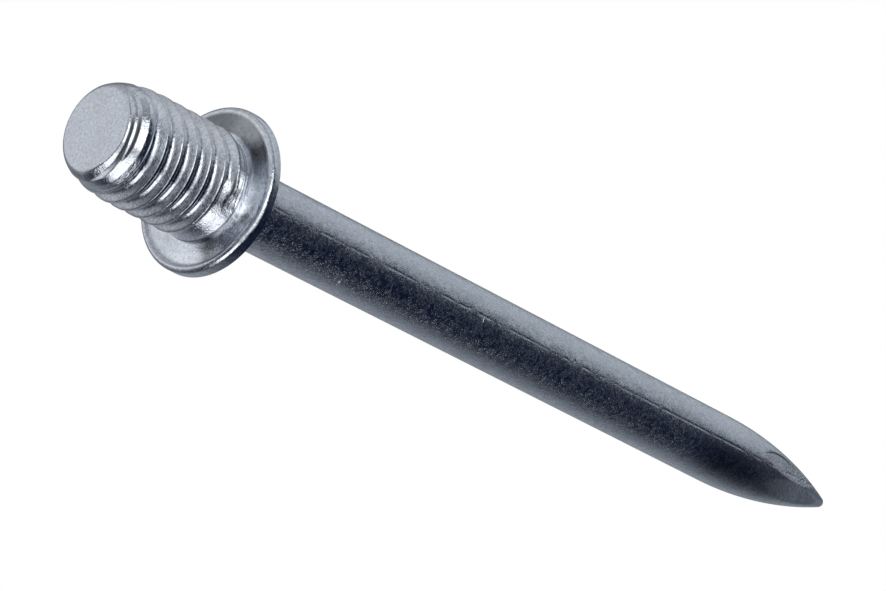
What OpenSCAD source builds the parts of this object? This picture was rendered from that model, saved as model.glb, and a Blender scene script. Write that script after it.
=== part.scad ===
// Threaded drive pin: a hardened nail with a round collar and a threaded stud,
// forged in one piece. It stands on the stud's end with its point up, and the
// origin is the centre of that end. All sizes are in millimetres.

/* [Stud] */
// Diameter over the thread's crests
thread_d = 5.8; // [5.6:0.05:8]
// Pitch of the thread
thread_p = 1; // [0.7:0.05:1.25]
// Length of the stud, from its end to the collar
stud_l = 7.9; // [6:0.1:25]
// Plain length at the crests' diameter between the thread and the collar
thread_relief = 0.3; // [0.2:0.05:1]
// Diameter of the flat on the stud's end
end_flat_d = 4.1; // [3:0.1:4.4]
// Length over which the stud's end is rounded off
end_round_l = 2.9; // [0.4:0.1:4]
// Radius of the fillet where the stud meets the collar
stud_fillet_r = 0.2; // [0.05:0.05:0.2]

/* [Collar] */
// Diameter of the collar
collar_d = 8.65; // [8.65:0.05:14]
// Thickness of the collar
collar_t = 0.65; // [0.5:0.05:2]
// Radius of the collar's edge on the stud's side
collar_edge_r = 0.2; // [0.05:0.05:0.3]
// Width of the bevel round the collar's seat
collar_bevel = 0.1; // [0.05:0.05:0.15]

/* [Shank] */
// Diameter of the shank
shank_d = 3.85; // [3:0.05:5]
// Length from the collar's seat to the tip of the point
nail_l = 50; // [20:0.5:80]
// Radius of the fillet between the collar's seat and the shank
underhead_r = 0.2; // [0.05:0.05:0.4]

/* [Point] */
// Length of the ogive point, with its rounded tip
point_l = 9.9; // [4:0.1:15]
// Radius of the rounded tip
tip_r = 0.3; // [0.1:0.05:0.8]

/* [Hidden] */

thread_r = thread_d / 2;
collar_r = collar_d / 2;
shank_r = shank_d / 2;
end_flat_r = end_flat_d / 2;

// Heights along the pin
seat_z = stud_l + collar_t;
tip_z = seat_z + nail_l;
point_z = tip_z - point_l;

// Metric thread form: flanks at 30 degrees to a square cut, a crest flat of an
// eighth of the pitch and a depth of 0.6134 pitches
flank_angle = 30;
crest_w = thread_p / 8;
thread_h = 0.6134 * thread_p;
root_r = thread_r - thread_h;
ridge_w = crest_w + 2 * thread_h * tan(flank_angle);
last_crest_z = stud_l - thread_relief - crest_w / 2;
ridges = floor(last_crest_z / thread_p) + 1;

// The ogive is an arc that leaves the shank at a tangent and runs at a tangent
// into the tip's own small arc
tip_centre_z = tip_z - tip_r;
ogive_l = tip_centre_z - point_z;
ogive_r = (shank_r ^ 2 - tip_r ^ 2 + ogive_l ^ 2) / (2 * (shank_r - tip_r));
tangent_z = point_z + ogive_l * ogive_r / (ogive_r - tip_r);

turn_fn = 96;
arc_fn = 48;
ogive_fn = 1440;
end_steps = 16;

// Half of a round bar's section, from the axis out to r and between two heights
module bar_half(r, z0, z1) {
    translate([0, z0]) square([r, z1 - z0]);
}

// A fillet in the corner between a bar of radius r and a face at height z. It
// stands above the face, or hangs below it
module fillet_half(r, z, fillet_r, below = false) {
    translate([r, z]) mirror([0, below ? 1 : 0]) difference() {
        translate([-fillet_r, -fillet_r]) square(2 * fillet_r);
        translate([fillet_r, fillet_r]) circle(fillet_r, $fn = arc_fn);
    }
}

// One ridge of the thread, with its crest centred at height z
module ridge_half(z) {
    polygon([
        [0, z - ridge_w / 2],
        [root_r, z - ridge_w / 2],
        [thread_r, z - crest_w / 2],
        [thread_r, z + crest_w / 2],
        [root_r, z + ridge_w / 2],
        [0, z + ridge_w / 2]
    ]);
}

// All that the rounded end leaves of the stud: a quarter of an ellipse runs
// from the flat to the crests' diameter
module rounded_end_half() {
    polygon(concat(
        [[0, 0]],
        [for (i = [0:end_steps]) let (a = 90 * i / end_steps) [
            end_flat_r + (thread_r - end_flat_r) * sin(a),
            end_round_l * (1 - cos(a))
        ]],
        [[thread_r, stud_l], [0, stud_l]]
    ));
}

// The stud: the thread is a row of ridges of its true section and pitch
module stud_half() {
    intersection() {
        union() {
            bar_half(root_r, 0, stud_l);
            bar_half(thread_r, last_crest_z, stud_l);
            for (i = [0:ridges - 1]) ridge_half(last_crest_z - i * thread_p);
        }
        rounded_end_half();
    }
    fillet_half(thread_r, stud_l, stud_fillet_r, below = true);
}

// The collar, with a rounded edge on the stud's side and a bevel round its seat
module collar_half() {
    edge_z = stud_l + collar_edge_r;
    bar_half(collar_r - collar_edge_r, stud_l, seat_z);
    translate([collar_r - collar_edge_r, edge_z]) circle(collar_edge_r, $fn = arc_fn);
    polygon([
        [0, edge_z],
        [collar_r, edge_z],
        [collar_r, seat_z - collar_bevel],
        [collar_r - collar_bevel, seat_z],
        [0, seat_z]
    ]);
}

// The shank, from inside the collar to inside the point
module shank_half() {
    bar_half(shank_r, stud_l, point_z);
    fillet_half(shank_r, seat_z, underhead_r);
}

// The ogive point and its rounded tip
module point_half() {
    intersection() {
        translate([shank_r - ogive_r, point_z]) circle(ogive_r, $fn = ogive_fn);
        bar_half(shank_r, point_z - tip_r, tangent_z);
    }
    intersection() {
        translate([0, tip_centre_z]) circle(tip_r, $fn = arc_fn);
        bar_half(tip_r, tip_centre_z, tip_z);
    }
}

module drive_pin() {
    color([0.74, 0.77, 0.81]) rotate_extrude($fn = turn_fn) {
        stud_half();
        collar_half();
        shank_half();
        point_half();
    }
}

drive_pin();
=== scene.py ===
import math

import bpy
from mathutils import Matrix, Vector


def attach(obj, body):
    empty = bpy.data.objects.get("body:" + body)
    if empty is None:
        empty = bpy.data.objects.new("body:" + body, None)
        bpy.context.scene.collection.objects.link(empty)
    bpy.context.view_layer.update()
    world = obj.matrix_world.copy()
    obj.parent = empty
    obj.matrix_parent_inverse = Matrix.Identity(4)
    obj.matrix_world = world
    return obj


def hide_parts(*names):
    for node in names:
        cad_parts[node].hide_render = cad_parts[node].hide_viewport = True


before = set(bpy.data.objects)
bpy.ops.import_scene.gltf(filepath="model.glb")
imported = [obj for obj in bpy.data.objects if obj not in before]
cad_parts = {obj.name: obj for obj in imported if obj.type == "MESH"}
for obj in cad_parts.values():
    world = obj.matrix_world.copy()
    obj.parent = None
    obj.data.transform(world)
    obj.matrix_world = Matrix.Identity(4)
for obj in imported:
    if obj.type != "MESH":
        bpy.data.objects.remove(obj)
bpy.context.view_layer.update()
scene = bpy.context.scene
MM = 0.001

# ---------------------------------------------------------------------------
# Camera. A long lens looks up at the standing pin from below its threaded end,
# turned on its side so that the point runs down to the right.
# ---------------------------------------------------------------------------
CAMERA_RISE = math.radians(43.876)  # how steeply it looks up
CAMERA_ROLL = math.radians(117.339)  # turn about its own line of sight
CAMERA_DISTANCE = 250.03 * MM
CAMERA_AIM = Vector((-0.62, 0, 25.285)) * MM  # a point beside the shank's middle
LENS = 199.495
SENSOR_WIDTH = 36
NEAREST, FARTHEST = 0.01, 20  # what the camera sees, in metres

camera_data = bpy.data.cameras.new("camera")
camera_data.lens = LENS
camera_data.sensor_width = SENSOR_WIDTH
camera_data.clip_start = NEAREST
camera_data.clip_end = FARTHEST
camera = bpy.data.objects.new("camera", camera_data)
scene.collection.objects.link(camera)
line_of_sight = Vector((0, math.cos(CAMERA_RISE), math.sin(CAMERA_RISE)))
camera.matrix_world = (
    Matrix.Translation(CAMERA_AIM - CAMERA_DISTANCE * line_of_sight)
    @ Matrix.Rotation(math.pi / 2 + CAMERA_RISE, 4, "X")
    @ Matrix.Rotation(CAMERA_ROLL, 4, "Z")
)
scene.camera = camera
scene.view_settings.view_transform = "Standard"

# ---------------------------------------------------------------------------
# Light. Two softboxes stand on either side of the camera with a dark gap
# between them, and a dim panel far to the left, in a dark blue room with soft
# pale glows on its walls.
# ---------------------------------------------------------------------------
ROOM = (0.003, 0.008, 0.024)  # the unlit part of the room
PALE = (0.97, 0.985, 1.0)  # of the lights level with the pin's foot and below it
PALE_BLUE = (0.89, 0.95, 1.0)  # of those above it
SWEEP = (1, 1, 1, 1)  # the plain white background that the camera sees
STUDIO_R = 0.7  # distance of the softboxes, in metres
STUD_MIDDLE = Vector((0, 0, 5 * MM))  # where they point


def towards(azimuth, elevation):
    """Direction from the pin. Azimuth 0 is -Y, the camera's side, and 90 is +X."""
    a, e = math.radians(azimuth), math.radians(elevation)
    return Vector((math.sin(a) * math.cos(e), -math.cos(a) * math.cos(e), math.sin(e)))


# name, azimuth, elevation, width and height seen from the pin, in degrees, and strength
SOFTBOXES = (
    ("left_softbox", -31, -26, 38, 32, 1.8),
    ("right_softbox", 52, -14, 43, 46, 1.6),
    ("left_panel", -97, 34.5, 72, 57, 0.43),
)
# name, azimuth, elevation, spread in degrees, strength
GLOWS = (
    ("left_wall", -85, 5, 18, 0.32),
    ("left_low", -100, -50, 24, 0.66),
    ("back_low", 172, -36, 22, 0.68),
    ("back_left", -138, -4, 20, 0.34),
    ("back_low_right", 140, -32, 22, 0.2),
    ("below_front", -45, -62, 20, 0.03),
    ("left_high", -150, 45, 22, 0.1),
    ("overhead", -10, 88, 13, 0.2),
    ("left_front", -31, 38, 10, 0.05),
    ("right_high", 145, 45, 22, 0.33),
    ("right_wall", 98, 28, 17, 0.11),
    ("front_low", -4, -42, 14, 1.4),
    ("front", 4, -14, 10, 0.5),
    ("behind_right", 163, -44, 13, 0.25),
)


def add_softbox(name, azimuth, elevation, width, height, strength):
    """A flat lamp, hidden from the camera, that faces the pin."""
    lamp = bpy.data.lights.new(name, "AREA")
    lamp.shape = "RECTANGLE"
    lamp.size = 2 * STUDIO_R * math.tan(math.radians(width / 2))
    lamp.size_y = 2 * STUDIO_R * math.tan(math.radians(height / 2))
    lamp.energy = strength * math.pi * lamp.size * lamp.size_y
    lamp.color = PALE_BLUE if elevation > 0 else PALE
    holder = bpy.data.objects.new(name, lamp)
    scene.collection.objects.link(holder)
    away = towards(azimuth, elevation)
    holder.location = STUD_MIDDLE + away * STUDIO_R
    holder.rotation_euler = away.to_track_quat("Z", "Y").to_euler()
    holder.visible_camera = False


for box in SOFTBOXES:
    add_softbox(*box)


def light_room(glows):
    """The room's walls: a dim blue, with a soft round glow added for each of the glows."""
    world = bpy.data.worlds.new("studio")
    scene.world = world
    world.use_nodes = True
    nodes, links = world.node_tree.nodes, world.node_tree.links
    nodes.clear()
    direction = nodes.new("ShaderNodeTexCoord").outputs["Generated"]
    total = nodes.new("ShaderNodeCombineXYZ")
    for value, socket in zip(ROOM, total.inputs):
        socket.default_value = value
    total = total.outputs[0]
    for name, azimuth, elevation, spread, strength in glows:
        aim = nodes.new("ShaderNodeVectorMath")
        aim.operation = "DOT_PRODUCT"
        aim.inputs[1].default_value = towards(azimuth, elevation)
        links.new(direction, aim.inputs[0])
        fall = nodes.new("ShaderNodeMath")
        fall.operation = "MULTIPLY_ADD"
        narrowness = math.radians(spread) ** -2
        fall.inputs[1].default_value = narrowness
        fall.inputs[2].default_value = -narrowness
        links.new(aim.outputs["Value"], fall.inputs[0])
        bright = nodes.new("ShaderNodeMath")
        bright.operation = "EXPONENT"
        links.new(fall.outputs[0], bright.inputs[0])
        add = nodes.new("ShaderNodeVectorMath")
        add.label = name
        add.operation = "MULTIPLY_ADD"
        tint = PALE_BLUE if elevation > 0 else PALE
        add.inputs[1].default_value = [strength * part for part in tint]
        links.new(bright.outputs[0], add.inputs[0])
        links.new(total, add.inputs[2])
        total = add.outputs[0]
    room = nodes.new("ShaderNodeBackground")
    links.new(total, room.inputs["Color"])
    sweep = nodes.new("ShaderNodeBackground")
    sweep.inputs["Color"].default_value = SWEEP
    seen = nodes.new("ShaderNodeLightPath")
    mix = nodes.new("ShaderNodeMixShader")
    links.new(seen.outputs["Is Camera Ray"], mix.inputs[0])
    links.new(room.outputs[0], mix.inputs[1])
    links.new(sweep.outputs[0], mix.inputs[2])
    links.new(mix.outputs[0], nodes.new("ShaderNodeOutputWorld").inputs[0])


light_room(GLOWS)

# ---------------------------------------------------------------------------
# Floor. A plain pale sheet that the pin stands on. It is clear from below, where
# the camera looks up through it, and it throws nothing back onto the pin.
# ---------------------------------------------------------------------------
FLOOR_HALF = 0.4  # half its width, in metres
FLOOR_GAP = 0.01 * MM
FLOOR_GREY = (0.88, 0.89, 0.9, 1)
FLOOR_ROUGHNESS = 0.9
FLOOR_GLOW = 0.85

pale = bpy.data.materials.new("pale_floor")
pale.use_nodes = True
nodes, links = pale.node_tree.nodes, pale.node_tree.links
sheet = nodes["Principled BSDF"]
sheet.inputs["Base Color"].default_value = FLOOR_GREY
sheet.inputs["Roughness"].default_value = FLOOR_ROUGHNESS
sheet.inputs["Emission Color"].default_value = FLOOR_GREY
sheet.inputs["Emission Strength"].default_value = FLOOR_GLOW
clear = nodes.new("ShaderNodeBsdfTransparent")
either_side = nodes.new("ShaderNodeMixShader")
links.new(nodes.new("ShaderNodeNewGeometry").outputs["Backfacing"], either_side.inputs[0])
links.new(sheet.outputs[0], either_side.inputs[1])
links.new(clear.outputs[0], either_side.inputs[2])
links.new(either_side.outputs[0], nodes["Material Output"].inputs["Surface"])

ground = bpy.data.meshes.new("floor")
sides = ((-1, -1), (1, -1), (1, 1), (-1, 1))
corners = [(right * FLOOR_HALF, back * FLOOR_HALF, -FLOOR_GAP) for right, back in sides]
ground.from_pydata(corners, [], [(0, 1, 2, 3)])
ground.materials.append(pale)
floor = bpy.data.objects.new("floor", ground)
scene.collection.objects.link(floor)
floor.visible_diffuse = floor.visible_glossy = floor.visible_shadow = False

# ---------------------------------------------------------------------------
# The drive pin. One piece of steel, cold forged to a collar and a stud, with
# the thread rolled on and the point swaged, then bright zinc plated. It stands
# on the flat end of its stud.
# ---------------------------------------------------------------------------
STUD_L = 7.9 * MM
CREST_R = 2.9 * MM
END_R = 2.05 * MM  # of the flat on the stud's end
END_ROUND = 2.9 * MM  # length over which the end is rounded off
STUD_LEAN = 0.0103  # the stud leans this much towards -X for each unit below the collar's seat
STUD_SHIFT = 0.02 * MM  # and stands off centre by this much more

PITCH = 1.0 * MM
THREAD_DEPTH = 0.42 * MM
FLANK_ANGLE = math.radians(30)  # between a flank and a square cut
ROOT_ROUND = 0.3 * MM  # radius of the thread's root
CREST_HEIGHT = 7.143 * MM  # height of the last ridge's crest on the side towards -Y
THREAD_START = 0.0263 * MM  # height where it begins on the +X side
THREAD_TURNS = 7.6
THREAD_END = THREAD_START + THREAD_TURNS * PITCH
RUN_OUT_Z = 6.6 * MM  # height where the last ridge's run-out begins
RUN_OUT_SLOPE = 0.4
UNEVENNESS = 0.04 * MM  # between the highest and lowest spots that rolling leaves

COLLAR_R = 4.325 * MM
COLLAR_T = 0.65 * MM
SEAT_Z = STUD_L + COLLAR_T  # height of the collar's seat
COLLAR_BEVEL = 0.1 * MM
STUD_FILLET = 0.28 * MM  # radius between the thread's root and the collar's face
UNDERHEAD_R = 0.2 * MM  # radius between the collar's seat and the shank
RIM_ROUND = 0.28 * MM
RIM_R = COLLAR_R - RIM_ROUND
RIM_W = 0.25 * MM
RIM_H = 0.03 * MM  # how far the rim stands proud of the collar's face
RIM_RAISED = 0.19 * MM  # how much more it does so on the +X side
COLLAR_SHIFT = 0.076 * MM  # the collar sits this far off centre, towards +X
COLLAR_TILT = 0.008  # and rises by this much for each unit towards +X

SHANK_R = 1.925 * MM
NAIL_L = 50 * MM  # from the collar's seat to the tip
POINT_L = 9.9 * MM
TIP_R = 0.3 * MM
TIP_Z = SEAT_Z + NAIL_L
# flats that the swaging dies left on the point: direction in degrees from -Y towards +X,
# height and distance from the axis where they begin, and slope towards the axis
POINT_FLATS = ((12, 51.8 * MM, 1.757 * MM, 0.205), (-38, 51.0 * MM, 1.831 * MM, 0.173))

# the mesh's columns round the pin, and its rows along each turn of the thread, of which
# the first ones lie twice as close together
COLUMNS = 208
ROWS_PER_TURN = 30
FIRST_ROWS = 54
SAME_PLACE = 1e-7  # points of the outline that are nearer than this are one, in metres


def arc(r, z, radius, start, end, steps, radius_z=None):
    """Points of an arc round (r, z), angles in degrees from the pin's radius towards its point."""
    radius_z = radius if radius_z is None else radius_z
    for i in range(steps + 1):
        a = math.radians(start + (end - start) * i / steps)
        yield r + radius * math.cos(a), z + radius_z * math.sin(a)


def run(r0, z0, r1, z1, steps):
    """Points along a straight line, both ends included."""
    for i in range(steps + 1):
        f = i / steps
        yield r0 + (r1 - r0) * f, z0 + (z1 - z0) * f


profile = []  # (radius, height, 1 on the rows that follow the thread's helix)


def add_rows(points, follows=0):
    """Carry the outline on through some points, leaving out one where it already ends."""
    for r, z in points:
        if follows or not profile or math.dist(profile[-1][:2], (r, z)) > SAME_PLACE:
            profile.append((r, z, follows))


# the stud's end: its flat, then the quarter ellipse up to where the thread begins
round_start = math.degrees(math.acos(1 - THREAD_START / END_ROUND)) - 90
add_rows(run(0, 0, END_R, 0, 6))
add_rows(arc(END_R, END_ROUND, CREST_R - END_R, -90, round_start, 8, END_ROUND))
# threaded rows: one extra turn, because each row climbs a pitch on its way round
last_row = round((THREAD_TURNS + 1) * ROWS_PER_TURN)
close_rows = [i / 2 for i in range(FIRST_ROWS * 2)]
for i in close_rows + list(range(FIRST_ROWS, last_row + 1)):
    add_rows([(CREST_R, THREAD_START + PITCH * (i / ROWS_PER_TURN - 1))], follows=1)
# the rest of the fillet, the collar's face with its raised rim, and its seat
fillet_r0 = CREST_R - THREAD_DEPTH + STUD_FILLET
fillet_start = math.degrees(math.asin((THREAD_END - STUD_L + STUD_FILLET) / STUD_FILLET))
add_rows(arc(fillet_r0, STUD_L - STUD_FILLET, -STUD_FILLET, -fillet_start, -90, 12))
add_rows(run(fillet_r0, STUD_L, RIM_R - RIM_W, STUD_L, 8))
add_rows(run(RIM_R - RIM_W, STUD_L, RIM_R, STUD_L - RIM_H, 4))
rim_z = STUD_L - RIM_H + RIM_ROUND
add_rows(arc(RIM_R, rim_z, RIM_ROUND, -90, 0, 10))
add_rows(run(COLLAR_R, rim_z, COLLAR_R, SEAT_Z - COLLAR_BEVEL, 3))
add_rows(run(COLLAR_R, SEAT_Z - COLLAR_BEVEL, COLLAR_R - COLLAR_BEVEL, SEAT_Z, 3))
add_rows(run(COLLAR_R - COLLAR_BEVEL, SEAT_Z, SHANK_R + UNDERHEAD_R, SEAT_Z, 6))
add_rows(arc(SHANK_R + UNDERHEAD_R, SEAT_Z + UNDERHEAD_R, UNDERHEAD_R, -90, -180, 6))
# the shank, straight up to the point
add_rows(run(SHANK_R, SEAT_Z + UNDERHEAD_R, SHANK_R, TIP_Z - POINT_L, 40))
# the point: an ogive that meets the shank and the round tip without a corner
ogive_l = POINT_L - TIP_R
ogive_r = (SHANK_R**2 - TIP_R**2 + ogive_l**2) / (2 * (SHANK_R - TIP_R))
ogive_end = math.degrees(math.asin(ogive_l / (ogive_r - TIP_R)))
add_rows(arc(SHANK_R - ogive_r, TIP_Z - POINT_L, ogive_r, 0, ogive_end, 40))
add_rows(arc(0, TIP_Z - TIP_R, TIP_R, ogive_end, 90, 8))

outline = bpy.data.meshes.new("drive_pin_outline")
outline.from_pydata([(r, 0, z) for r, z, _ in profile], [], [])
outline.attributes.new("follows_helix", "FLOAT", "POINT").data.foreach_set(
    "value", [float(h) for _, _, h in profile]
)


class Tree:
    """A node tree under construction, with short calls for its maths."""

    def __init__(self, group):
        self.group = group
        self.values = {}

    def input(self, name, kind, value=None):
        """A named input of the group, kept with its identifier and the value to give it."""
        if not self.values:
            self.inlet = self.group.nodes.new("NodeGroupInput")
        socket = self.group.interface.new_socket(name, in_out="INPUT", socket_type=kind)
        self.values[name] = (socket.identifier, value)
        return self.inlet.outputs[name]

    def size(self, name, value):
        """A named input for one of the piece's sizes."""
        return self.input(name, "NodeSocketFloat", value)

    def node(self, kind, inputs=(), **settings):
        """A node with its settings, its inputs being numbers or the sockets that feed them."""
        made = self.group.nodes.new(kind)
        for key, value in settings.items():
            setattr(made, key, value)
        for key, value in dict(inputs).items():
            if isinstance(value, bpy.types.NodeSocket):
                self.group.links.new(value, made.inputs[key])
            else:
                made.inputs[key].default_value = value
        return made

    def math(self, operation, *terms):
        made = self.node("ShaderNodeMath", enumerate(terms), operation=operation)
        return made.outputs[0]

    def ramp(self, value, low, high):
        """A smooth step from 0 at low to 1 at high, which may also be the smaller."""
        made = self.node(
            "ShaderNodeMapRange",
            {"Value": value, "From Min": low, "From Max": high},
            interpolation_type="SMOOTHSTEP",
        )
        return made.outputs[0]

    def mix(self, share, first, second):
        """The first value where the share is 0, the second where it is 1."""
        made = self.node("ShaderNodeMix", {"Factor": share, "A": first, "B": second}, data_type="FLOAT")
        return made.outputs[0]

    def finish(self, geometry):
        outlet = self.group.nodes.new("NodeGroupOutput")
        self.group.interface.new_socket("Geometry", in_out="OUTPUT", socket_type="NodeSocketGeometry")
        self.group.links.new(geometry, outlet.inputs[0])
        return self.group


turned = Tree(bpy.data.node_groups.new("turned_and_threaded", "GeometryNodeTree"))
m, ramp, mix = turned.math, turned.ramp, turned.mix
outline_in = turned.input("Outline", "NodeSocketGeometry")
columns = turned.input("Columns", "NodeSocketInt", COLUMNS)
rows = turned.input("Rows", "NodeSocketInt", len(profile))
pitch = turned.size("Pitch", PITCH)
depth = turned.size("Thread depth", THREAD_DEPTH)
start = turned.size("Thread start", THREAD_START)
end = turned.size("Thread end", THREAD_END)
crest_r = turned.size("Crest radius", CREST_R)
crest_z = turned.size("Crest height", CREST_HEIGHT)
end_r = turned.size("End radius", END_R)
end_round = turned.size("End rounding", END_ROUND)
stud_lean = turned.size("Stud lean", STUD_LEAN)
stud_shift = turned.size("Stud shift", STUD_SHIFT)
collar_shift = turned.size("Collar shift", COLLAR_SHIFT)
collar_tilt = turned.size("Collar tilt", COLLAR_TILT)
collar_z = turned.size("Collar height", STUD_L)
run_out_z = turned.size("Run out height", RUN_OUT_Z)
run_out_slope = turned.size("Run out slope", RUN_OUT_SLOPE)
rim_raised = turned.size("Raised rim", RIM_RAISED)
unevenness = turned.size("Unevenness", UNEVENNESS)
seat_z = turned.size("Seat height", SEAT_Z)
root_round = turned.size("Root rounding", ROOT_ROUND)
flank_angle = turned.size("Flank angle", FLANK_ANGLE)
fillet_r = turned.size("Fillet radius", STUD_FILLET)
finish_in = turned.input("Finish", "NodeSocketMaterial")

# the rows are the outline's points, and the columns are turns round the pin: 0 is at +X
# and 0.75 at -Y
MINUS_Y = 0.75
LAST_COLUMN = 0.9999  # only the last column, which closes the seam, lies beyond this turn
ROW_SLACK = 0.25  # share of a row by which a close row may miss a wide one's place

grid = turned.node("GeometryNodeMeshGrid", {"Vertices X": m("ADD", columns, 1), "Vertices Y": rows})
index = turned.node("GeometryNodeInputIndex").outputs[0]
column = m("FLOOR", m("DIVIDE", m("ADD", index, 0.5), rows))
row = m("SUBTRACT", index, m("MULTIPLY", column, rows))
turn = m("DIVIDE", column, columns)
angle = m("MULTIPLY", turn, math.tau)
place = turned.node(
    "GeometryNodeSampleIndex",
    {0: outline_in, "Value": turned.node("GeometryNodeInputPosition").outputs[0], "Index": row},
    data_type="FLOAT_VECTOR",
)
place_xyz = turned.node("ShaderNodeSeparateXYZ", {0: place.outputs[0]})
outline_r, outline_z = place_xyz.outputs["X"], place_xyz.outputs["Z"]
follows_helix = turned.node(
    "GeometryNodeInputNamedAttribute", {"Name": "follows_helix"}, data_type="FLOAT"
)
follows = turned.node(
    "GeometryNodeSampleIndex",
    {0: outline_in, "Value": follows_helix.outputs[0], "Index": row},
    data_type="FLOAT",
).outputs[0]

# the thread's rows climb with the helix, and at the seam the close rows of the first
# turn shut onto the wider ones
climbed = m("ADD", outline_z, m("MULTIPLY", pitch, turn))
climbed = m("MINIMUM", m("MAXIMUM", climbed, start), end)
step = m("DIVIDE", pitch, ROWS_PER_TURN)
steps = m("DIVIDE", m("SUBTRACT", climbed, start), step)
past_close = m("GREATER_THAN", steps, FIRST_ROWS - ROWS_PER_TURN - ROW_SLACK)
at_seam = m("MULTIPLY", m("GREATER_THAN", turn, LAST_COLUMN), past_close)
climbed = mix(at_seam, climbed, m("MULTIPLY_ADD", m("ROUND", steps), step, start))
z = mix(follows, outline_z, climbed)

# the blank's own radius under the thread
rest = m("MAXIMUM", m("SUBTRACT", 1.0, m("DIVIDE", z, end_round)), 0.0)
bow = m("SQRT", m("SUBTRACT", 1.0, m("MULTIPLY", rest, rest)))
blank_r = m("ADD", end_r, m("MULTIPLY", m("SUBTRACT", crest_r, end_r), bow))

# the rolled form is told from the distance to the nearest root
phase = m("DIVIDE", m("SUBTRACT", z, crest_z), pitch)
phase = m("SUBTRACT", m("ADD", phase, MINUS_Y), turn)
from_crest = m("ABSOLUTE", m("SUBTRACT", m("FRACT", m("ADD", phase, 0.5)), 0.5))
from_root = m("MULTIPLY", m("SUBTRACT", 0.5, from_crest), pitch)
arc_end = m("MULTIPLY", root_round, m("COSINE", flank_angle))
on_arc = m("MINIMUM", from_root, arc_end)
drop = m("SUBTRACT", m("MULTIPLY", root_round, root_round), m("MULTIPLY", on_arc, on_arc))
rise = m("SUBTRACT", root_round, m("SQRT", drop))
past_arc = m("MAXIMUM", m("SUBTRACT", from_root, arc_end), 0.0)
rise = m("ADD", rise, m("DIVIDE", past_arc, m("TANGENT", flank_angle)))
root_r = m("SUBTRACT", crest_r, depth)
groove = m("MAXIMUM", m("SUBTRACT", depth, rise), 0.0)

# the groove is full after its first turn, and the last ridge stops a little past -Y
GROOVE_GROWS = (-6.15, -5.5)  # turns along the helix, counted from the last ridge
RIDGE_STOPS = (0.79, 0.72)
THREAD_FADES = 0.12 * MM  # height at the thread's end over which the fillet takes over
START_BLEND = 0.02 * MM
FILLET_BLEND = 0.03 * MM

groove = m("MULTIPLY", groove, ramp(m("ADD", turn, m("FLOOR", phase)), *GROOVE_GROWS))
ridge = ramp(m("ADD", turn, m("ROUND", phase)), *RIDGE_STOPS)
ridge_r = m("SUBTRACT", blank_r, groove)
low_r = m("MINIMUM", root_r, ridge_r)
cut_r = m("ADD", low_r, m("MULTIPLY", m("SUBTRACT", ridge_r, low_r), ridge))
fillet_z = m("SUBTRACT", collar_z, fillet_r)
up_fillet = m("MAXIMUM", m("SUBTRACT", z, fillet_z), 0.0)
bow = m("SUBTRACT", m("MULTIPLY", fillet_r, fillet_r), m("MULTIPLY", up_fillet, up_fillet))
filled_r = m("SUBTRACT", m("ADD", root_r, fillet_r), m("SQRT", bow))
filled_r = m("SUBTRACT", filled_r, m("MAXIMUM", m("SUBTRACT", fillet_z, z), 0.0))
with_fillet = m("SMOOTH_MAX", cut_r, filled_r, FILLET_BLEND)
cut_r = mix(ramp(z, m("SUBTRACT", end, THREAD_FADES), end), with_fillet, filled_r)
threaded_r = mix(ramp(z, start, m("ADD", start, START_BLEND)), blank_r, cut_r)
radius = mix(follows, outline_r, threaded_r)

# the last ridge runs out into a cone on the +X side. Elsewhere the cone only fills the
# groove under that ridge, and a second, short one lies between the ridge and the collar
CONE_LEAVES = (0.05, 0.4)  # turns between which it leaves the ridge on the far side
UNDER_RIDGE = (0.71, 0.64)  # turns between which it comes back under the ridge
OVER_RIDGE = (0.78, 0.7)  # and between the ridge and the collar
ACROSS_RIDGE = (-0.05 * MM, 0.08 * MM)  # heights from the crest between the two
CONE_LATER = 0.76 * MM  # how much higher up the pin it begins there
CONE_STEEPENS = (0.79, 0.73)
CONE_STEEPER = 0.2
CONE_RISE = 0.42 * MM  # the most that it rises above the root
SHORT_CONE_LESS = 0.25 * MM  # how much less the short one does
CONE_TOP_BLEND = 0.03 * MM
CONE_BLEND = 0.05 * MM
CONE_END = 0.03 * MM  # height above the collar's face over which the cone is let go

cone_later = turned.size("Short cone later", CONE_LATER)
cone_steeper = turned.size("Short cone steeper", CONE_STEEPER)
cone_most = turned.size("Cone rise", CONE_RISE)
short_less = turned.size("Short cone less", SHORT_CONE_LESS)
beyond = m("SUBTRACT", m("SUBTRACT", z, crest_z), m("MULTIPLY", pitch, m("SUBTRACT", turn, MINUS_Y)))
away = ramp(turn, *CONE_LEAVES)
over = m("MULTIPLY", away, ramp(turn, *OVER_RIDGE))
under = m("MULTIPLY", away, ramp(turn, *UNDER_RIDGE))
aside = mix(ramp(beyond, *ACROSS_RIDGE), under, over)
cone_z = m("SUBTRACT", z, m("ADD", run_out_z, m("MULTIPLY", aside, cone_later)))
steeper = m("MULTIPLY", m("MULTIPLY", away, ramp(turn, *CONE_STEEPENS)), cone_steeper)
cone_rise = m("MULTIPLY", cone_z, m("ADD", run_out_slope, steeper))
cone_top = m("SUBTRACT", cone_most, m("MULTIPLY", over, short_less))
cone_r = m("ADD", root_r, m("SMOOTH_MIN", cone_rise, cone_top, CONE_TOP_BLEND))
coned_r = m("SMOOTH_MAX", radius, cone_r, CONE_BLEND)

# a crease lies along the last ridge where it fades
CREASE_AT = -0.1 * MM  # its height from the crest
CREASE_W = 0.08 * MM
CREASE_DEPTH = 0.06 * MM
CREASE_BEGINS = (0.66, 0.71)
CREASE_ENDS = (0.79, 0.74)

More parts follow.
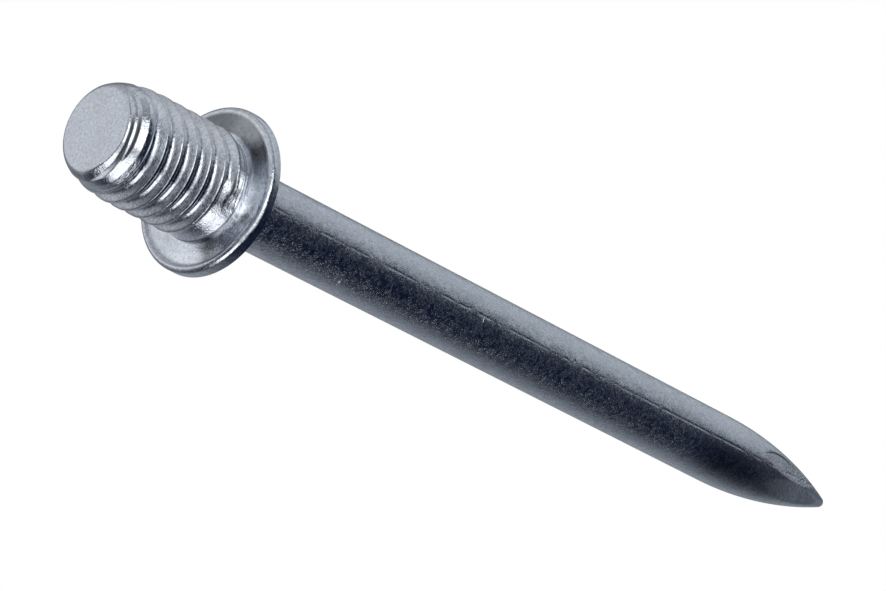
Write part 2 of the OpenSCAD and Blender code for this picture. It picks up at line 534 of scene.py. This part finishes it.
crease_at = turned.size("Crease from crest", CREASE_AT)
crease_w = turned.size("Crease width", CREASE_W)
crease_depth = turned.size("Crease depth", CREASE_DEPTH)
crease = m("DIVIDE", m("SUBTRACT", beyond, crease_at), crease_w)
crease = m("EXPONENT", m("MULTIPLY", m("MULTIPLY", crease, crease), -1.0))
crease = m("MULTIPLY", crease, m("MULTIPLY", ramp(turn, *CREASE_BEGINS), ramp(turn, *CREASE_ENDS)))
coned_r = m("SUBTRACT", coned_r, m("MULTIPLY", crease, crease_depth))
radius = mix(ramp(z, m("ADD", collar_z, CONE_END), collar_z), radius, coned_r)

# towards -Y the end is stepped where the first ridge begins: shallow treads between
# risers, the second of them only on the left
STEPS_SIDE = (-0.2, -0.75)  # sines of the angles between which the steps come in
STEPS_RIGHT = (0.74, 0.81)  # turns between which they change from left to right
STEPS_TOP = (1.25 * MM, 1.0 * MM)
STEPS_RIM = 0.08 * MM  # width on the end's flat over which the notch begins
RISER_SLOPE = 0.65
RISER_EASES_Z = 0.7 * MM
RISER_EASE = 0.38  # how much less the risers slope beyond that height
NOTCH_Z = 0.04 * MM
NOTCH_R = 0.06 * MM
NOTCH_R_LESS = 0.04 * MM  # how much less it is on the right
TREAD_Z = 0.15 * MM
TREAD_TURN = 0.73  # from here on the tread climbs
TREAD_CLIMB = 1.25 * MM  # by this much in a turn
TREAD_EDGE = 0.035 * MM
TREAD_R = 0.14 * MM
TREAD_R_MORE = 0.6  # share by which it is wider on the right
SECOND_TREAD_Z = (0.3 * MM, 0.375 * MM)
SECOND_TREAD_R = 0.155 * MM

riser_slope = turned.size("Riser slope", RISER_SLOPE)
notch_most = turned.size("Notch width", NOTCH_R)
first_tread_z = turned.size("Tread height", TREAD_Z)
tread_climb = turned.size("Tread climb", TREAD_CLIMB)
tread_most = turned.size("Tread width", TREAD_R)
second_tread_most = turned.size("Second tread width", SECOND_TREAD_R)
near = ramp(m("SINE", angle), *STEPS_SIDE)
right = ramp(turn, *STEPS_RIGHT)
past_turn = m("MAXIMUM", m("SUBTRACT", turn, TREAD_TURN), 0)
tread_z = m("ADD", first_tread_z, m("MULTIPLY", past_turn, tread_climb))
tread_r = m("MULTIPLY", ramp(m("SUBTRACT", z, tread_z), -TREAD_EDGE, TREAD_EDGE), tread_most)
tread_r = m("MULTIPLY", tread_r, m("ADD", 1.0, m("MULTIPLY", right, TREAD_R_MORE)))
second_tread_r = m("MULTIPLY", ramp(z, *SECOND_TREAD_Z), second_tread_most)
second_tread_r = m("MULTIPLY", second_tread_r, m("SUBTRACT", 1.0, right))
notch_r = m("SUBTRACT", notch_most, m("MULTIPLY", right, NOTCH_R_LESS))
notch_r = m("MULTIPLY", ramp(z, 0.0, NOTCH_Z), notch_r)
riser_r = m("ADD", end_r, m("MULTIPLY", z, riser_slope))
eased = m("MULTIPLY", m("MAXIMUM", m("SUBTRACT", z, RISER_EASES_Z), 0), RISER_EASE)
riser_r = m("SUBTRACT", riser_r, eased)
stepped_r = m("ADD", m("ADD", riser_r, notch_r), m("ADD", tread_r, second_tread_r))
stepped_r = m("MINIMUM", stepped_r, m("SUBTRACT", crest_r, groove))
on_steps = m("MULTIPLY", near, ramp(z, *STEPS_TOP))
on_steps = m("MULTIPLY", on_steps, ramp(radius, m("SUBTRACT", end_r, STEPS_RIM), end_r))
radius = mix(on_steps, radius, stepped_r)

# the swaging dies' flats on the point, each told by its distance from the axis
FLAT_EDGE = (0.5, 0.6)  # cosines of the angle from a flat's middle between which it ends
SMALLEST_COSINE = 0.2
FLAT_BLEND = 0.02 * MM

for side, first_z, first_r, slope in POINT_FLATS:
    off_side = m("COSINE", m("SUBTRACT", angle, math.radians(side - 90)))
    flat = m("SUBTRACT", first_r + first_z * slope, m("MULTIPLY", z, slope))
    flat = m("DIVIDE", flat, m("MAXIMUM", off_side, SMALLEST_COSINE))
    flat = mix(ramp(off_side, *FLAT_EDGE), radius, m("SMOOTH_MIN", radius, flat, FLAT_BLEND))
    past = m("GREATER_THAN", z, first_z)
    before_tip = m("LESS_THAN", z, TIP_Z - TIP_R)
    radius = mix(m("MULTIPLY", past, before_tip), radius, flat)

# cold working leaves the thread a little uneven from place to place
UNEVEN_SPOTS = 1100.0  # about how many lie side by side in a metre
UNEVEN_FROM = (0.05 * MM, 0.4 * MM)
UNEVEN_TO = (7.4 * MM, 6.8 * MM)

spot = turned.node(
    "ShaderNodeCombineXYZ",
    {
        "X": m("MULTIPLY", radius, m("COSINE", angle)),
        "Y": m("MULTIPLY", radius, m("SINE", angle)),
        "Z": z,
    },
)
uneven = turned.node(
    "ShaderNodeTexNoise", {"Vector": spot.outputs[0], "Scale": UNEVEN_SPOTS, "Detail": 2.0}
).outputs["Fac"]
uneven = m("MULTIPLY", m("SUBTRACT", uneven, 0.5), m("MULTIPLY", follows, unevenness))
uneven = m("MULTIPLY", uneven, m("MULTIPLY", ramp(z, *UNEVEN_FROM), ramp(z, *UNEVEN_TO)))
radius = m("ADD", radius, uneven)

# the die's halves met a little out of line: the stud leans, the collar sits off centre
# and tilted, and its rim is raised on the +X side
LEAN_ENDS = 0.3 * MM  # height under the collar over which the lean goes
COLLAR_FROM = 0.3 * MM  # distances from the crests between which the collar's shift comes in
COLLAR_TO = 1.2 * MM
ON_RIM = (3.85 * MM, 4.1 * MM)
RIM_SIDE = (0.2 * MM, 1.9 * MM)  # places towards +X between which the raised rim comes in
RIM_TOP = (8.4 * MM, 8.1 * MM)

across = m("MULTIPLY", radius, m("COSINE", angle))
on_stud = m("SUBTRACT", 1.0, ramp(z, m("SUBTRACT", collar_z, LEAN_ENDS), collar_z))
on_collar = ramp(radius, m("ADD", crest_r, COLLAR_FROM), m("ADD", crest_r, COLLAR_TO))
lean = m("ADD", m("MULTIPLY", m("SUBTRACT", seat_z, z), stud_lean), stud_shift)
across = m("SUBTRACT", across, m("MULTIPLY", on_stud, lean))
across = m("ADD", across, m("MULTIPLY", on_collar, collar_shift))
tilted_z = m("ADD", z, m("MULTIPLY", on_collar, m("MULTIPLY", across, collar_tilt)))
on_rim = m("MULTIPLY", ramp(radius, *ON_RIM), ramp(z, *RIM_TOP))
on_rim = m("MULTIPLY", on_rim, ramp(across, *RIM_SIDE))
tilted_z = m("SUBTRACT", tilted_z, m("MULTIPLY", on_rim, rim_raised))
position = turned.node(
    "ShaderNodeCombineXYZ", {"X": across, "Y": m("MULTIPLY", radius, m("SINE", angle)), "Z": tilted_z}
)

# the seam and the two poles are closed, and only real corners are left sharp
SHARP_ANGLE = math.radians(32)

shaped = turned.node(
    "GeometryNodeSetPosition", {0: grid.outputs["Mesh"], "Position": position.outputs[0]}
)
closed = turned.node(
    "GeometryNodeMergeByDistance", {0: shaped.outputs[0], "Distance": 2 * SAME_PLACE}
)
smooth = turned.node("GeometryNodeSetShadeSmooth", {0: closed.outputs[0]})
edge_angle = turned.node("GeometryNodeInputMeshEdgeAngle").outputs["Unsigned Angle"]
sharp = turned.node("FunctionNodeCompare", {0: edge_angle, 1: SHARP_ANGLE}, data_type="FLOAT")
smooth = turned.node(
    "GeometryNodeSetShadeSmooth",
    {"Geometry": smooth.outputs[0], "Selection": sharp.outputs[0], "Shade Smooth": False},
    domain="EDGE",
)
real = turned.node("GeometryNodeRealizeInstances", {0: smooth.outputs[0]})
finished = turned.node("GeometryNodeSetMaterial", {0: real.outputs[0], "Material": finish_in})
turned.finish(finished.outputs[0])

# the bright zinc plate: blue-white metal with a fine sandy grain, matt specks and
# patches, a few nicks, and painted reflections and painted shade in some places
zinc = bpy.data.materials.new("bright_zinc_plate")
zinc.use_nodes = True
plate = Tree(zinc.node_tree)
m, ramp = plate.math, plate.ramp
on_pin = plate.node("ShaderNodeTexCoord").outputs["Object"]
pin_xyz = plate.node("ShaderNodeSeparateXYZ", {0: on_pin})
x, y, z = (pin_xyz.outputs[axis] for axis in "XYZ")


def noise(size, detail, roughness):
    """Noise whose coarsest lumps are about `size` across."""
    made = plate.node(
        "ShaderNodeTexNoise",
        {"Vector": on_pin, "Scale": 1 / size, "Detail": detail, "Roughness": roughness},
    )
    return made.outputs["Fac"]


def bell(value, width):
    """1 at zero, falling away over a width."""
    scaled = m("DIVIDE", value, width)
    return m("EXPONENT", m("MULTIPLY", m("MULTIPLY", scaled, scaled), -1.0))


def shade(tone, place, change):
    """The tone where the place is 0, and more or less of it by a share where it is 1."""
    return m("MULTIPLY", tone, m("MULTIPLY_ADD", place, change, 1.0))


# grain that is felt, sand that is only seen, matt specks, larger patches, and waves
# left by drawing the wire
GRAIN = 0.09 * MM
GRAIN_DEPTH = 0.0115 * MM
SPECK_DEEPER = 1.5  # share by which the grain is deeper in the specks
SAND = 0.15 * MM
SPECKLE = 0.3 * MM
SPECKLE_EDGE = (0.42, 0.68)
SPECKLE_ON_STUD = 0.4  # share of the specks that is left there, against 1 on the shank
SPECKLE_AT_POINT = 0.5  # and there
MOTTLE = 1.6 * MM
MOTTLE_EDGE = (0.4, 0.68)
WAVES = 1.7 * MM
WAVE_DEPTH = 0.05 * MM
SHANK_FROM = (SEAT_Z + 0.05 * MM, SEAT_Z + 0.4 * MM)  # heights between which they change
POINT_FROM = (43 * MM, 48 * MM)

on_shank = ramp(z, *SHANK_FROM)
grain = noise(GRAIN, 2, 0.6)
sand = noise(SAND, 2, 0.7)
speckle = ramp(noise(SPECKLE, 4, 0.9), *SPECKLE_EDGE)
speckle = m("MULTIPLY", speckle, m("MULTIPLY_ADD", on_shank, 1 - SPECKLE_ON_STUD, SPECKLE_ON_STUD))
speckle = shade(speckle, ramp(z, *POINT_FROM), SPECKLE_AT_POINT - 1)
mottle = ramp(noise(MOTTLE, 3, 0.6), *MOTTLE_EDGE)
waves = noise(WAVES, 2, 0.5)

# specks and patches scatter more light than the bright plate between them, and the
# sheared flat on the stud's end scatters the most
ROUGHNESS = 0.1
SPECK_ROUGHER = 0.1
MOTTLE_ROUGHER = 0.07  # for specks that lie in a patch
END_FACE_ROUGHNESS = 0.42
END_FACE = (0.03 * MM, 0.005 * MM)  # heights between which it begins

rough = m("MULTIPLY_ADD", speckle, m("MULTIPLY_ADD", mottle, MOTTLE_ROUGHER, SPECK_ROUGHER), ROUGHNESS)
rough = m("MULTIPLY_ADD", ramp(z, *END_FACE), m("SUBTRACT", END_FACE_ROUGHNESS, rough), rough)

# a line drawn along the shank by the die, worn away in places
LINE_X = -0.64 * MM
LINE_W = 0.06 * MM
LINE_DEPTH = 0.014 * MM
WORN = 1.1 * MM  # size of the worn places
WORN_EDGE = (0.4, 0.6)
NEAR_SIDE = (0.0, -0.3 * MM)  # the line, nicks and fold are all on the -Y side

near_side = ramp(y, *NEAR_SIDE)
worn = ramp(noise(WORN, 2, 0.6), *WORN_EDGE)
line = m("MULTIPLY", bell(m("SUBTRACT", x, LINE_X), LINE_W), m("MULTIPLY", worn, on_shank))
marks = m("MULTIPLY", line, LINE_DEPTH)

# nicks from handling
NICKS = (  # place across and along, length and width in mm, turn in degrees, depth in mm
    (-0.6, 25.6, 0.14, 0.04, -25, 0.035),
    (-0.45, 26.8, 0.22, 0.04, 8, 0.03),
    (1.15, 17.0, 0.14, 0.06, 12, 0.03),
    (-0.75, 34.2, 0.08, 0.06, 0, 0.02),
)

for nick_x, nick_z, length, width, slant, dent in NICKS:
    a = math.radians(slant)
    u = m("MULTIPLY_ADD", x, math.cos(a), -(nick_x * math.cos(a) + nick_z * math.sin(a)) * MM)
    u = m("MULTIPLY_ADD", z, math.sin(a), u)
    v = m("MULTIPLY_ADD", z, math.cos(a), (nick_x * math.sin(a) - nick_z * math.cos(a)) * MM)
    v = m("MULTIPLY_ADD", x, -math.sin(a), v)
    nick = m("MULTIPLY", bell(u, length * MM), bell(v, width * MM))
    marks = m("MULTIPLY_ADD", nick, dent * MM, marks)

# a thin curved fold where two of the point's flats met
FOLD_X = -1.28 * MM  # its place across at its bend
FOLD_Z = 52.5 * MM  # and the height of that bend
FOLD_CURVE = 0.09 / MM
FOLD_W = 0.05 * MM
FOLD_DEPTH = 0.02 * MM
FOLD_MIDDLE = 52.7 * MM  # height from which it fades both ways
FOLD_L = 1.5 * MM

along = m("SUBTRACT", z, FOLD_Z)
fold_x = m("MULTIPLY_ADD", m("MULTIPLY", along, along), FOLD_CURVE, FOLD_X)
fold = m("MULTIPLY", bell(m("SUBTRACT", x, fold_x), FOLD_W), bell(m("SUBTRACT", z, FOLD_MIDDLE), FOLD_L))
fold = m("MULTIPLY", fold, near_side)
marks = m("MULTIPLY_ADD", fold, FOLD_DEPTH, m("MULTIPLY", marks, near_side))
sandy = m("MULTIPLY", grain, m("MULTIPLY_ADD", speckle, GRAIN_DEPTH * SPECK_DEEPER, GRAIN_DEPTH))
height = m("SUBTRACT", m("MULTIPLY_ADD", waves, WAVE_DEPTH, sandy), marks)
bump = plate.node("ShaderNodeBump", {"Strength": 1.0, "Distance": 1.0, "Height": height})

# on the collar's face a painted reflection brightens the plating a little left of -Y, and
# painted shade darkens it beside that, towards -X and on the far side
FACE_FROM_R = (2.8 * MM, 3.0 * MM)
FACE_TO_R = (4.05 * MM, 3.8 * MM)
FACE_FROM_Z = (7.5 * MM, 7.7 * MM)
FACE_TO_Z = (SEAT_Z - 0.3 * MM, SEAT_Z - 0.5 * MM)
PAINTED_REFLECTION_FACING, PAINTED_REFLECTION_LEFT = 0.98, 0.2  # direction of the brightest place: cosine and sine
PAINTED_REFLECTION_EDGE = (0.84, 0.95)  # cosines of the angle from there between which it ends
PAINTED_REFLECTION_GAIN = 0.45
BESIDE, BESIDE_W = 0.62, 0.12  # cosine of the angle from -Y to the places of painted shade, and their width
PAINTED_SHADE_BESIDE = 0.2
PAINTED_SHADE_BESIDE_RIGHT = 0.36  # how much more to the right
LEFT_X = (-1.0 * MM, -2.6 * MM)
PAINTED_SHADE_LEFT = 0.6
FAR_SIDE = (0.1, -0.3)  # cosines of the angle from -Y
PAINTED_SHADE_FAR_SIDE = 0.16

out = m("SQRT", m("MULTIPLY_ADD", x, x, m("MULTIPLY", y, y)))
off_axis = m("MAXIMUM", out, MM)
facing = m("DIVIDE", m("MULTIPLY", y, -1.0), off_axis)
aslant = m("MULTIPLY_ADD", facing, PAINTED_REFLECTION_FACING, m("DIVIDE", m("MULTIPLY", x, -PAINTED_REFLECTION_LEFT), off_axis))
on_face = m("MULTIPLY", ramp(out, *FACE_FROM_R), ramp(z, *FACE_TO_Z))
on_face = m("MULTIPLY", on_face, ramp(out, *FACE_TO_R))
on_face = m("MULTIPLY", on_face, ramp(z, *FACE_FROM_Z))
# a painted reflection and painted shade on the collar's face
bright = m("MULTIPLY", ramp(aslant, *PAINTED_REFLECTION_EDGE), PAINTED_REFLECTION_GAIN)
painted_shade = m("MULTIPLY_ADD", ramp(x, -MM, MM), PAINTED_SHADE_BESIDE_RIGHT, PAINTED_SHADE_BESIDE)
painted_shade = m("MULTIPLY", bell(m("SUBTRACT", facing, BESIDE), BESIDE_W), painted_shade)
painted_shade = m("MULTIPLY_ADD", ramp(x, *LEFT_X), PAINTED_SHADE_LEFT, painted_shade)
painted_shade = m("MULTIPLY_ADD", ramp(facing, *FAR_SIDE), PAINTED_SHADE_FAR_SIDE, painted_shade)

TONE = 0.47  # of the plate where the sand is darkest
SAND_TONE = 1.1
SPECK_TONE = -0.1

tone = m("MULTIPLY_ADD", sand, SAND_TONE, m("MULTIPLY_ADD", speckle, SPECK_TONE, TONE))
tone = m("MULTIPLY", tone, m("MULTIPLY_ADD", on_face, m("SUBTRACT", bright, painted_shade), 1.0))

# painted shade darkens the crease of the last ridge. Places round the pin are in turns
# from -Y here, towards +X
CREASE_PAINTED_SHADE = -0.9  # share of the tone that is lost, as with the others below
CREASE_FADES_IN = (-0.09, -0.04)
CREASE_FADES_OUT = (0.05, -0.01)

round_y = m("ADD", m("DIVIDE", m("ARCTAN2", y, x), math.tau), 1 - MINUS_Y)
beyond = m("SUBTRACT", m("SUBTRACT", z, CREST_HEIGHT + CREASE_AT), m("MULTIPLY", round_y, PITCH))
crease = m("MULTIPLY", ramp(round_y, *CREASE_FADES_IN), ramp(round_y, *CREASE_FADES_OUT))
tone = shade(tone, m("MULTIPLY", bell(beyond, CREASE_W), crease), CREASE_PAINTED_SHADE)

# painted shade on the two risers where the thread starts
RISER_PAINTED_SHADE = -0.85
DARKEST_PAINTED_RISER = 0.1  # where the two risers meet
RISER_W = 0.04 * MM
FIRST_RISER_Z = 0.155 * MM
SECOND_RISER_Z = 0.34 * MM
SECOND_RISER_ENDS = (0.06, 0.0)
RISERS_FADE_IN = (-0.13, -0.07)
RISERS_FADE_OUT = (0.12, 0.04)

past_turn = m("MAXIMUM", m("ADD", round_y, MINUS_Y - TREAD_TURN), 0.0)
first_z = m("MULTIPLY_ADD", past_turn, TREAD_CLIMB, FIRST_RISER_Z)
second = bell(m("SUBTRACT", z, SECOND_RISER_Z), RISER_W)
second = m("MULTIPLY", second, ramp(round_y, *SECOND_RISER_ENDS))
risers = m("ADD", bell(m("SUBTRACT", z, first_z), RISER_W), second)
seen = m("MULTIPLY", ramp(round_y, *RISERS_FADE_IN), ramp(round_y, *RISERS_FADE_OUT))
risers = m("MULTIPLY", risers, seen)
riser_painted_shade = m("MAXIMUM", m("MULTIPLY_ADD", risers, RISER_PAINTED_SHADE, 1.0), DARKEST_PAINTED_RISER)
tone = m("MULTIPLY", tone, riser_painted_shade)

# painted shade in the corner under the collar, and in the point's fold
CORNER_PAINTED_SHADE = -0.6
CORNER_Z = 7.6 * MM
CORNER_HIGHER = 0.16 * MM  # to the left of -Y
CORNER_LEFT = (0.02, -0.05)
CORNER_W = 0.05 * MM
CORNER_TO_R = (3.1 * MM, 2.9 * MM)
FOLD_PAINTED_SHADE = -0.75

corner_z = m("MULTIPLY_ADD", ramp(round_y, *CORNER_LEFT), CORNER_HIGHER, CORNER_Z)
corner_painted_shade = m("MULTIPLY", bell(m("SUBTRACT", z, corner_z), CORNER_W), ramp(out, *CORNER_TO_R))
tone = shade(tone, corner_painted_shade, CORNER_PAINTED_SHADE)
tone = shade(tone, fold, FOLD_PAINTED_SHADE)

# a painted dark reflection along the -Y side just before the point tapers
DARK_PAINTED_REFLECTION = -0.5
DARK_FROM = (44.5 * MM, 47.5 * MM)
DARK_TO = (55.5 * MM, 51.8 * MM)
DARK_X, DARK_W = 0.55 * MM, 1.1 * MM

dark = m("MULTIPLY", ramp(z, *DARK_FROM), ramp(z, *DARK_TO))
dark = m("MULTIPLY", dark, m("MULTIPLY", near_side, bell(m("SUBTRACT", x, DARK_X), DARK_W)))
tone = shade(tone, dark, DARK_PAINTED_REFLECTION)

PLATE = (0.7, 0.735, 0.79, 1)
PATCH = (0.66, 0.69, 0.74, 1)

plating = plate.node("ShaderNodeMix", {"Factor": mottle, "A": PLATE, "B": PATCH}, data_type="RGBA")
tinted = plate.node(
    "ShaderNodeVectorMath", {0: plating.outputs["Result"], "Scale": tone}, operation="SCALE"
)
shader = zinc.node_tree.nodes["Principled BSDF"]
shader.inputs["Metallic"].default_value = 1
zinc.node_tree.links.new(tinted.outputs[0], shader.inputs["Base Color"])
zinc.node_tree.links.new(rough, shader.inputs["Roughness"])
zinc.node_tree.links.new(bump.outputs[0], shader.inputs["Normal"])

# the blank is rolled to the finished pin: a plain mesh with no modifier left on it
blank = bpy.data.objects.new("drive_pin_blank", outline)
scene.collection.objects.link(blank)
roll = blank.modifiers.new("turn_and_roll", "NODES")
roll.node_group = turned.group
for identifier, value in turned.values.values():
    if value is not None:
        roll[identifier] = value
roll[turned.values["Finish"][0]] = zinc
bpy.context.view_layer.update()
graph = bpy.context.evaluated_depsgraph_get()
mesh = bpy.data.meshes.new_from_object(blank.evaluated_get(graph))
mesh.name = "threaded_drive_pin"
bpy.data.objects.remove(blank)
pin = bpy.data.objects.new("threaded_drive_pin", mesh)
scene.collection.objects.link(pin)
triangles = sum(len(face.vertices) - 2 for face in mesh.polygons)
print("pin", len(mesh.vertices), "vertices", triangles, "triangles")

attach(pin, "root")
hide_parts("drive_pin")
